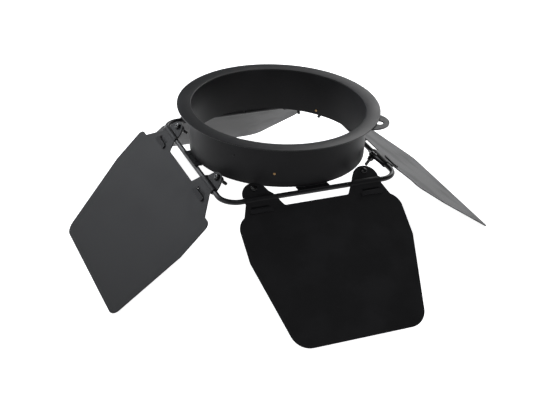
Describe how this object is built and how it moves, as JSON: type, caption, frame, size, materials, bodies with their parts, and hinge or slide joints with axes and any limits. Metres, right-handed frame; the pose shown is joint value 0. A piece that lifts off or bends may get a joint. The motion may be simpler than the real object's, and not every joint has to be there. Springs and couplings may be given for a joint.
{
  "type": "barn door attachment",
  "caption": "Black sheet-metal barn door for a stage light: a flanged round collar over a square rod frame, with hinged leaves clamped to the rod.",
  "frame": {"origin": "centre of the collar's bore in the plane of the flange's seating face", "axes": "+Z along the beam axis towards the light, -Y towards the front leaf, +X towards the right leaf"},
  "size_m": [0.4897, 0.5081, 0.1888],
  "materials": {
    "black_paint": "matte black powder coat on sheet steel",
    "rod_paint": "semi-gloss black on steel rod",
    "black_hardware": "glossy black oxide",
    "brass": "aged brass"
  },
  "bodies": {
    "base": {"flange_ring": "black_paint", "collar_band": "black_paint", "safety_eye": "black_paint", "rod_frame": "rod_paint", "rivet_front": "brass", "rivet_rear": "brass", "rivet_left": "black_paint", "bracket_front": "black_paint", "bracket_right": "black_paint", "bracket_rear": "black_paint", "bracket_left": "black_paint"},
    "door_front": {"leaf_front": "black_paint", "clamp_front_a": "black_paint", "clamp_front_b": "black_paint", "screw_front_a": "black_hardware", "screw_front_b": "black_hardware", "nut_front_a": "black_hardware", "nut_front_b": "black_hardware"},
    "door_right": {"leaf_right": "black_paint", "clamp_right_a": "black_paint", "clamp_right_b": "black_paint", "screw_right_a": "black_hardware", "screw_right_b": "black_hardware", "nut_right_a": "black_hardware", "nut_right_b": "black_hardware"},
    "door_rear": {"leaf_rear": "black_paint", "clamp_rear_a": "black_paint", "clamp_rear_b": "black_paint", "screw_rear_a": "black_hardware", "screw_rear_b": "black_hardware", "nut_rear_a": "black_hardware", "nut_rear_b": "black_hardware"},
    "door_left": {"leaf_left": "black_paint", "clamp_left_a": "black_paint", "clamp_left_b": "black_paint", "screw_left_a": "black_hardware", "screw_left_b": "black_hardware", "nut_left_a": "black_hardware", "nut_left_b": "black_hardware"}
  },
  "joints": [
    {"name": "front_leaf_hinge", "type": "hinge", "parent": "base", "child": "door_front", "pos_m": [-0.0005, -0.108, -0.0588], "axis": [1, 0, 0], "range_deg": [-105, 85]},
    {"name": "right_leaf_hinge", "type": "hinge", "parent": "base", "child": "door_right", "pos_m": [0.108, 0.0055, -0.0588], "axis": [0, 1, 0], "range_deg": [-106.5, 53.5]},
    {"name": "rear_leaf_hinge", "type": "hinge", "parent": "base", "child": "door_rear", "pos_m": [0, 0.108, -0.0588], "axis": [-1, 0, 0], "range_deg": [-108.5, 81.5]},
    {"name": "left_leaf_hinge", "type": "hinge", "parent": "base", "child": "door_left", "pos_m": [-0.108, 0.0055, -0.0588], "axis": [0, -1, 0], "range_deg": [-117, 43]}
  ]
}
